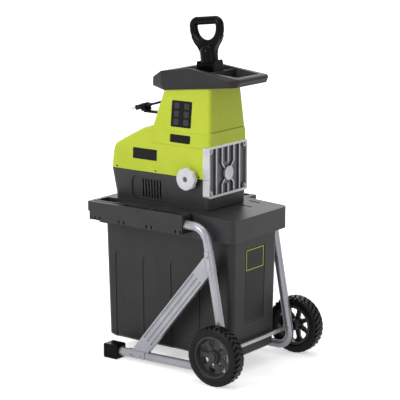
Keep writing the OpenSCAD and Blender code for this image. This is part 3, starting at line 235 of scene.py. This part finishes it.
# %% Plastics, rubber and paint
lime_shell = grained("lime_shell", linear(183, 198, 46), linear(192, 207, 56), rough=(0.38, 0.50),
                     Specular_IOR_Level=0.35)
slate_mould = grained("slate_mould", linear(38, 37, 39), linear(47, 46, 48), rough=(0.34, 0.48),
                      grain=0.0012, depth=0.00010, shade=0.9, rub_and_highlight=0.9, Specular_IOR_Level=0.26)
bin_mould = grained("bin_mould", linear(33, 32, 34), linear(41, 40, 42), rough=(0.40, 0.54),
                    grain=0.0012, depth=0.00010, shade=0.9, rub_and_highlight=0.9, Specular_IOR_Level=0.26)
base_mould = grained("base_mould", linear(38, 37, 39), linear(46, 45, 47), rough=(0.36, 0.50),
                     grain=0.0010, depth=0.00008, shade=0.9, rub_and_highlight=0.45, Specular_IOR_Level=0.32)
hopper_mould = grained("hopper_mould", linear(34, 32, 34), linear(43, 41, 43), rough=(0.40, 0.54),
                       grain=0.0010, depth=0.00008, shade=0.9, rub_and_highlight=0.8, Specular_IOR_Level=0.20)
rim_mould = grained("rim_mould", linear(46, 45, 47), linear(56, 55, 57), rough=(0.36, 0.50),
                    grain=0.0010, depth=0.00008, shade=0.9, rub_and_highlight=0.6, Specular_IOR_Level=0.30)
black_mould = grained("black_mould", linear(4, 4, 5), linear(8, 8, 9), rough=(0.18, 0.26),
                      depth=0.00003, rub_and_highlight=0.6, Specular_IOR_Level=0.08)
rubber = grained("rubber", linear(7, 7, 8), linear(13, 13, 14), rough=(0.36, 0.50), grain=0.0015,
                 depth=0.00012, shade=0.9, rub_and_highlight=0.9, Specular_IOR_Level=0.17)
silver_paint = grained("silver_paint", linear(148, 149, 156), linear(164, 165, 172),
                       rough=(0.20, 0.30), grain=0.0005, depth=0.00002, rub_and_highlight=0.0, Metallic=0.45)
start_green = grained("start_green", linear(20, 120, 50), linear(28, 138, 60), rough=(0.25, 0.35))
stop_red = grained("stop_red", linear(186, 24, 22), linear(204, 34, 28), rough=(0.25, 0.35))
reset_grey = grained("reset_grey", linear(120, 120, 122), linear(136, 136, 138), rough=(0.35, 0.5))
print("finishes so far:", [m.name for m in bpy.data.materials])

# %% [markdown]
# ## Metals
# The end cover and the knob are cast: their skin is slightly pitted and dull, and the cover's sunk field
# between the ribs is a darker grey. The shafts and screws are turned and plated, so they are smoother.
# A metal has little colour of its own, so most of what it shows is its roughness. The darker tint lies
# on the cover's sunk field, found from how deep and how far inside the rim a place lies.

# %% Metal finishes
COVER_RIM = 0.0085
COVER_FIELD_DEPTH = 0.011
FIELD_FLOOR_SKIN = 0.002
TINT_FULL = 0.001
TINT_GONE = 0.003
cover_places = [nodes["end_cover"].matrix_world @ v.co for v in nodes["end_cover"].data.vertices]
cover_low, cover_high = (Vector(pick(p[i] for p in cover_places) for i in range(3)) for pick in (min, max))


def between_ribs(here):
    """1 on the sunk field of the end cover, inside its rim, and 0 elsewhere."""
    field = cover_high.x - COVER_FIELD_DEPTH
    deep = 1.0 - here.axis("X").ramp(field + TINT_FULL, cover_high.x - TINT_GONE)
    inside = deep * (here.axis("X") > field - FIELD_FLOOR_SKIN)
    for name, low, high in (("Y", cover_low.y, cover_high.y), ("Z", cover_low.z, cover_high.z)):
        inside = inside * (here.axis(name) > low + COVER_RIM) * (here.axis(name) < high - COVER_RIM)
    return inside


cover_metal = grained("cover_metal", linear(176, 176, 180), linear(196, 196, 199), drift=0.03,
                      rough=(0.36, 0.54), grain=0.0016, depth=0.00012,
                      tint_patch=(linear(92, 92, 96), between_ribs), Metallic=0.55)
cast_metal = grained("cast_metal", linear(176, 177, 180), linear(198, 199, 202), drift=0.03,
                     rough=(0.34, 0.52), grain=0.0016, depth=0.00012, Metallic=0.75)
knob_metal = grained("knob_metal", linear(200, 199, 203), linear(212, 211, 215), drift=0.02,
                     rough=(0.42, 0.55), grain=0.0009, depth=0.00006, Metallic=0.1)
zinc = grained("zinc", linear(150, 150, 152), linear(182, 182, 184), drift=0.008,
               rough=(0.26, 0.42), grain=0.0006, depth=0.00003, Metallic=0.95)
tool_steel = grained("tool_steel", linear(84, 85, 88), linear(112, 113, 116), drift=0.02,
                     rough=(0.3, 0.5), grain=0.0007, depth=0.00005, Metallic=0.95)
copper_wire = grained("copper_wire", linear(140, 74, 38), linear(176, 100, 56), drift=0.004,
                      rough=(0.3, 0.45), grain=0.0007, depth=0.0002, Metallic=0.9)
print("with metals:", len(bpy.data.materials), "finishes")

# %% [markdown]
# ## Which solid takes which finish
# A solid can be shared, so its finish goes into the material slot of the object and not of the mesh.
# The large dark mouldings look alike, but each has its own shade and gloss on the real machine.

# %% Finishes onto solids
finishes = {
    lime_shell: "upper_housing",
    slate_mould: "cover_plate deck_cups discharge_chute feed_throat",
    bin_mould: "chip_bin bin_floor bin_grip",
    base_mould: "motor_base",
    hopper_mould: "hopper",
    rim_mould: "near_rim far_rim axle_caps",
    black_mould: "near_foot_cap far_foot_cap axle_spacers plunger_handle plunger_pusher switch_box "
                 "direction_knob plug_holder cooling_fan",
    rubber: "near_tyre far_tyre cable_gland power_lead plug_body",
    silver_paint: "near_side_tube far_side_tube near_brace far_brace",
    cover_metal: "end_cover",
    cast_metal: "gear_case gear_cover",
    knob_metal: "adjusting_knob run_capacitor",
    zinc: "brace_screws wheel_axle plate_bolts base_bolts cover_screws drum_shaft drum_bearings "
          "motor_bearings adjusting_spindle plug_pins spindle_bush",
    tool_steel: "knob_screw cutting_drum drum_gear idler_gear motor_pinion motor_rotor stator_core "
                "pressure_plate motor_can",
    copper_wire: "stator_windings",
    start_green: "start_button",
    stop_red: "stop_button",
    reset_grey: "reset_button",
}
for material, names in finishes.items():
    for name in names.split():
        for slot in nodes[name].material_slots:
            slot.link = "OBJECT"
            slot.material = material
print("finished", sum(len(n.split()) for n in finishes.values()), "solids")

# %% [markdown]
# ## Softer edges
# A moulding has no knife edges: the tool leaves a radius of half a millimetre or more, and it is this
# radius that catches the light and draws the thin bright lines along a real object. The solids stay as
# they are; modifiers merge the loose triangles, join flat ones into whole faces, round the sharp edges
# and then shade everything below a limit angle as one smooth skin. A wall with a row of slots keeps its
# triangles, because one face with many holes in it shades badly. Weighted normals come last: they keep a
# wide face level and leave the turn in the light to the narrow round beside it.

# %% A skin that is smooth below a limit angle
SHARP = math.radians(32)


def smooth_group(limit):
    """A geometry-node group that shades smooth, except over edges sharper than the limit."""
    group = bpy.data.node_groups.new("smooth_below_limit", "GeometryNodeTree")
    for way in ("INPUT", "OUTPUT"):
        group.interface.new_socket("Geometry", in_out=way, socket_type="NodeSocketGeometry")
    add = group.nodes.new
    start = add("NodeGroupInput")
    end = add("NodeGroupOutput")
    angle = add("GeometryNodeInputMeshEdgeAngle")
    sharp = add("FunctionNodeCompare")
    sharp.operation = "GREATER_THAN"
    sharp.inputs[1].default_value = limit
    faces = add("GeometryNodeSetShadeSmooth")
    edges = add("GeometryNodeSetShadeSmooth")
    edges.domain = "EDGE"
    edges.inputs["Shade Smooth"].default_value = False
    link = group.links.new
    link(start.outputs[0], faces.inputs["Geometry"])
    link(faces.outputs[0], edges.inputs["Geometry"])
    link(angle.outputs["Unsigned Angle"], sharp.inputs[0])
    link(sharp.outputs[0], edges.inputs["Selection"])
    link(edges.outputs[0], end.inputs[0])
    return group


smooth_skin = smooth_group(SHARP)
print("smooth below", round(math.degrees(SHARP)), "degrees")

# %% Modifiers for the solids
WELD_GAP = 0.00002
FLAT = math.radians(0.5)
ROUND_SEGMENTS = 2


def soften(piece, radius, join_flat):
    weld = piece.modifiers.new("weld", "WELD")
    weld.merge_threshold = WELD_GAP
    if join_flat:
        flat = piece.modifiers.new("flat", "DECIMATE")
        flat.decimate_type = "DISSOLVE"
        flat.angle_limit = FLAT
    if radius:
        edge = piece.modifiers.new("edge", "BEVEL")
        edge.width = radius
        edge.segments = ROUND_SEGMENTS
        edge.limit_method = "ANGLE"
        edge.angle_limit = SHARP
        edge.miter_outer = "MITER_ARC"
    skin = piece.modifiers.new("skin", "NODES")
    skin.node_group = smooth_skin
    if radius:
        level = piece.modifiers.new("level", "WEIGHTED_NORMAL")
        level.keep_sharp = True


SLOTTED = ["motor_base"]
edge_radius = {
    0.0012: "upper_housing hopper bin_grip near_foot_cap far_foot_cap plunger_pusher switch_box",
    0.0008: "end_cover adjusting_knob near_tyre far_tyre near_rim far_rim plunger_handle plug_body "
            "plug_holder",
    0.0005: "motor_base near_brace far_brace cutting_drum pressure_plate feed_throat discharge_chute "
            "start_button stop_button direction_knob axle_caps plate_bolts cover_screws brace_screws "
            "knob_screw",
    0.0003: "chip_bin cover_plate",
}
rounded = {name: radius for radius, names in edge_radius.items() for name in names.split()}
for name, node in nodes.items():
    soften(node, rounded.get(name, 0.0), join_flat=name not in SLOTTED)
print("softened", len(rounded), "solids, smoothed", len(nodes))

# %% [markdown]
# ## The lead
# A short lead leaves the switch box through a tapered gland, turns a quarter circle and ends in a plug
# that rests in a holder. It is the one limp piece, so it is a curve with a round bevel along the same
# points that its solid follows.

# %% Lead
LEAD_DIAMETER = 0.0075
STEPS_BETWEEN = 3
lead_points = [
    (-0.1120, -0.0189, 0.8377), (-0.1120, -0.0295, 0.8349), (-0.1120, -0.0400, 0.8321),
    (-0.1131, -0.0483, 0.8298), (-0.1163, -0.0560, 0.8276), (-0.1214, -0.0626, 0.8253),
    (-0.1280, -0.0677, 0.8231), (-0.1357, -0.0709, 0.8208), (-0.1440, -0.0720, 0.8186),
    (-0.1490, -0.0720, 0.8172),
]


def eased(points, steps):
    """Catmull-Rom points between those given, so that the curve has no corners."""
    p = [Vector(v) for v in points]
    p = [2 * p[0] - p[1]] + p + [2 * p[-1] - p[-2]]
    out = []
    for a, b, c, d in zip(p, p[1:], p[2:], p[3:]):
        for k in range(steps):
            t = k / steps
            out.append(0.5 * (2 * b + (c - a) * t + (2 * a - 5 * b + 4 * c - d) * t * t
                              + (3 * b - a - 3 * c + d) * t ** 3))
    return out + [p[-2]]


route = eased(lead_points, STEPS_BETWEEN)
lead_curve = bpy.data.curves.new("lead", "CURVE")
lead_curve.dimensions = "3D"
lead_curve.bevel_depth = LEAD_DIAMETER / 2
lead_curve.bevel_resolution = 5
lead_curve.use_fill_caps = True
spline = lead_curve.splines.new("POLY")
spline.points.add(len(route) - 1)
for point, place in zip(spline.points, route):
    point.co = (*place, 1.0)
lead_curve.materials.append(rubber)
lead = shown("lead", lead_curve)
lead_length = sum((b - a).length for a, b in zip(route, route[1:]))
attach(lead, "machine")
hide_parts("power_lead")
print("lead of", round(lead_length, 4), "m in", len(route), "points")

# %% [markdown]
# ## Plates and a label
# The green shell carries three dark plates on its near side and the bin a dark label in its end wall.
# Two plates are plain, the large one has six blank fields, and the label has a plain green outline.
# Each is a rounded slab about half a millimetre high. Lines cast at the wall find the surface under
# every outline point, so that a plate follows the slope, and rings of such points are joined by faces.

# %% Places on a wall
class Wall:
    """One side of a solid: places on it are found by casting a line at it."""
    def __init__(self, node, body, look):
        self.body = body
        self.look = Vector(look)
        mesh = nodes[node].data
        corners = [p.vertices for p in mesh.polygons]
        self.faces = BVHTree.FromPolygons([v.co for v in mesh.vertices], corners)

    def on(self, across, up, height):
        side = Vector((0.0, 0.0, 1.0)).cross(self.look)
        start = Vector((abs(side.x) * across, abs(side.y) * across, up)) - self.look
        hit, normal, _, _ = self.faces.ray_cast(start, self.look)
        return hit + height * (-normal if normal.dot(self.look) > 0 else normal)


near_shell = Wall("upper_housing", "machine", (0.0, 1.0, 0.0))
bin_end = Wall("chip_bin", "bin", (-1.0, 0.0, 0.0))
print("walls ready; the bin's end is at", [round(v, 4) for v in bin_end.on(0.0, 0.25, 0.0)])

# %% Lofting rings onto a wall
CORNER_STEPS = 5
SMALLEST_CORNER = 0.0005
SLAB_SUNK = 0.0003
SLAB_ROUND = 0.25


def rounded_outline(x0, x1, z0, z1, radius):
    """Outline points of a rectangle with round corners."""
    corners = ((x1 - radius, z1 - radius), (x0 + radius, z1 - radius),
               (x0 + radius, z0 + radius), (x1 - radius, z0 + radius))
    points = []
    for quarter, (x, z) in enumerate(corners):
        for k in range(CORNER_STEPS + 1):
            turn = math.pi / 2 * (quarter + k / CORNER_STEPS)
            points.append((x + radius * math.cos(turn), z + radius * math.sin(turn)))
    return points


def loft(name, wall, area, profile, radius, material, hollow=False):
    """Joins rings round an area of a wall; the profile gives each ring's inset and height.

    A hollow loft closes on its first ring, and any other is capped at both ends."""
    x0, x1, z0, z1 = area
    rings = []
    for inset, height in profile:
        corner = max(radius - inset, SMALLEST_CORNER)
        outline = rounded_outline(x0 + inset, x1 - inset, z0 + inset, z1 - inset, corner)
        rings.append([wall.on(across, up, height) for across, up in outline])
    count = len(rings[0])
    pairs = [(r, (r + 1) % len(rings)) for r in range(len(rings) - (0 if hollow else 1))]
    faces = [[a * count + k, a * count + (k + 1) % count, b * count + (k + 1) % count, b * count + k]
             for a, b in pairs for k in range(count)]
    if not hollow:
        last = (len(rings) - 1) * count
        faces += [[last + k for k in range(count)], list(reversed(range(count)))]
    mesh = bpy.data.meshes.new(name)
    mesh.from_pydata([p for ring in rings for p in ring], [], faces)
    outward = bmesh.new()
    outward.from_mesh(mesh)
    bmesh.ops.recalc_face_normals(outward, faces=outward.faces)
    outward.to_mesh(mesh)
    outward.free()
    mesh.materials.append(material)
    piece = shown(name, mesh)
    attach(piece, wall.body)


def slab_profile(height, foot=0.0):
    """Rings of a slab: sunk at the foot, upright, and with a narrow round at the top."""
    edge = SLAB_ROUND * (height - foot)
    return (0.0, foot - SLAB_SUNK), (0.0, height - edge), (edge, height)


print("a slab of 1 mm has the rings", slab_profile(0.001))

# %% Plates and label
PLATE_HEIGHT = 0.0006
PLATE_RADIUS = 0.003
plate_black = grained("plate_black", linear(10, 10, 11), linear(15, 15, 16), rough=(0.24, 0.34),
                      shade=0.0, rub_and_highlight=0.0, Specular_IOR_Level=0.15)
plates = {
    "hump_plate": (near_shell, (-0.198, -0.102, 0.645, 0.680)),
    "neck_plate": (near_shell, (-0.051, 0.027, 0.7115, 0.737)),
    "neck_panel": (near_shell, (-0.052, 0.026, 0.760, 0.842)),
    "bin_label": (bin_end, (-0.050, 0.050, 0.158, 0.3905)),
}
for name, (wall, spot) in plates.items():
    loft(name, wall, spot, slab_profile(PLATE_HEIGHT), PLATE_RADIUS, plate_black)
print("plates:", ", ".join(plates))

# %% Blank fields on the large plate
FIELD_SIDE = 0.019
FIELD_TOP = 0.0009
FIELD_START = (0.0105, 0.0065)
FIELD_STEP = (0.038, 0.025)
field_grey = grained("field_grey", linear(46, 46, 48), linear(56, 56, 58), rough=(0.3, 0.4),
                     shade=0.0, rub_and_highlight=0.0, Specular_IOR_Level=0.2)
panel_x, _, panel_z, _ = plates["neck_panel"][1]
for row in range(3):
    for column in range(2):
        x = panel_x + FIELD_START[0] + column * FIELD_STEP[0]
        z = panel_z + FIELD_START[1] + row * FIELD_STEP[1]
        loft(f"blank_field_{row}_{column}", near_shell, (x, x + FIELD_SIDE, z, z + FIELD_SIDE),
             slab_profile(FIELD_TOP, PLATE_HEIGHT), PLATE_RADIUS, field_grey)
print("six blank fields of", 1000 * FIELD_SIDE, "mm")

# %% Green outline on the label
LINE_WIDTH = 0.0026
LINE_TOP = PLATE_HEIGHT + 0.0003
LINE_FOOT = PLATE_HEIGHT - 0.0002
lime_print = grained("lime_print", linear(172, 196, 40), linear(182, 206, 48), rough=(0.35, 0.45),
                     shade=0.0, rub_and_highlight=0.0, Specular_IOR_Level=0.25)
line_profile = ((0.0, LINE_FOOT), (0.0, LINE_TOP), (LINE_WIDTH, LINE_TOP), (LINE_WIDTH, LINE_FOOT))
loft("label_outline", bin_end, (-0.047, 0.047, 0.322, 0.388), line_profile, PLATE_RADIUS,
     lime_print, hollow=True)
print("an outline", 1000 * LINE_WIDTH, "mm wide")

# %% [markdown]
# ## Floor and light
# The machine stands on a white sweep. The floor is plain and pale, and camera rays see it brightened to
# white, more so away from the machine, so that it needs no extra lamp and still takes the shadow.
# Four soft lamps do the rest: a key from the left front, a tall narrow fill from the right, whose
# reflection is an upright streak on tubes and corners, one from above, and one low behind the machine,
# whose light skims over the tops and draws a sheen on them. The sky lights the machine more from
# overhead than from the horizon, as a studio ceiling does, and looks white itself.

# %% Floor
FLOOR_HALF = 40.0
FLOOR_COLOUR = (0.82, 0.82, 0.82, 1.0)
GLOW_UNDER = 0.55
GLOW_STARTS = 0.5
GLOW_FULL = 2.2


def seen_by(wire):
    """1 for rays that show the background itself, to the camera, in a reflection or through glass."""
    kinds = ("Camera", "Glossy", "Transmission")
    camera_ray, glossy_ray, through_ray = (wire.node("LightPath", out=f"Is {k} Ray") for k in kinds)
    return camera_ray + glossy_ray + through_ray


floor_mesh = bpy.data.meshes.new("floor")
floor_corners = [(-1.0, -1.0, 0.0), (1.0, -1.0, 0.0), (1.0, 1.0, 0.0), (-1.0, 1.0, 0.0)]
floor_mesh.from_pydata(floor_corners, [], [(0, 1, 2, 3)])
floor_mesh.transform(Matrix.Scale(FLOOR_HALF, 4))
floor = shown("floor", floor_mesh)
floor_material = bpy.data.materials.new("pale_floor")
floor_material.use_nodes = True
tree = floor_material.node_tree
tree.nodes.clear()
here = place_on(tree, "Object")
away = here.node("VectorMath", {"operation": "LENGTH"}, out="Value", i0=here)
glow_level = GLOW_UNDER + (1.0 - GLOW_UNDER) * away.ramp(GLOW_STARTS, GLOW_FULL)
glow = here.node("Emission", Strength=seen_by(here) * glow_level)
plain = here.node("BsdfDiffuse", Color=FLOOR_COLOUR)
both = here.node("AddShader", i0=glow, i1=plain)
ending = tree.nodes.new("ShaderNodeOutputMaterial")
tree.links.new(both.socket, ending.inputs["Surface"])
floor_mesh.materials.append(floor_material)
print("floor", 2 * FLOOR_HALF, "m square")

# %% Lamps
LAMPS_AIM = Vector((0.0, 0.0, 0.5))
lamps = {
    "key": ((-0.7, -3.8, 2.4), (1.2, 1.8), 84.0),
    "fill": ((3.3, -1.9, 1.5), (0.4, 2.2), 15.0),
    "top": ((0.0, 0.2, 3.6), (2.4, 2.4), 42.0),
    "rim": ((-2.4, 3.2, 1.9), (3.6, 2.2), 28.0),
}
for name, (place, size, power) in lamps.items():
    light = bpy.data.lights.new(name, "AREA")
    light.shape = "RECTANGLE"
    light.size, light.size_y = size
    light.energy = power
    lamp = shown(name, light)
    lamp.location = place
    lamp.rotation_euler = facing(LAMPS_AIM - Vector(place))
    lamp.visible_camera = False
print("lamps:", ", ".join(lamps))

# %% Sky
HORIZON_LIGHT = 0.12
OVERHEAD_MORE = 0.45
world = bpy.data.worlds.new("studio")
bpy.context.scene.world = world
world.use_nodes = True
sky = world.node_tree
backdrop = sky.nodes["Background"]
backdrop.inputs["Color"].default_value = (1.0, 1.0, 1.0, 1.0)
direction = place_on(sky, "Generated")
sky_light = HORIZON_LIGHT + OVERHEAD_MORE * direction.axis("Z").ramp(0.0, 1.0)
sky_shown = sky_light + seen_by(direction) * (1.0 - sky_light)
sky.links.new(sky_shown.socket, backdrop.inputs["Strength"])
bpy.context.scene.view_settings.view_transform = "Standard"
print("sky from", HORIZON_LIGHT, "to", HORIZON_LIGHT + OVERHEAD_MORE)
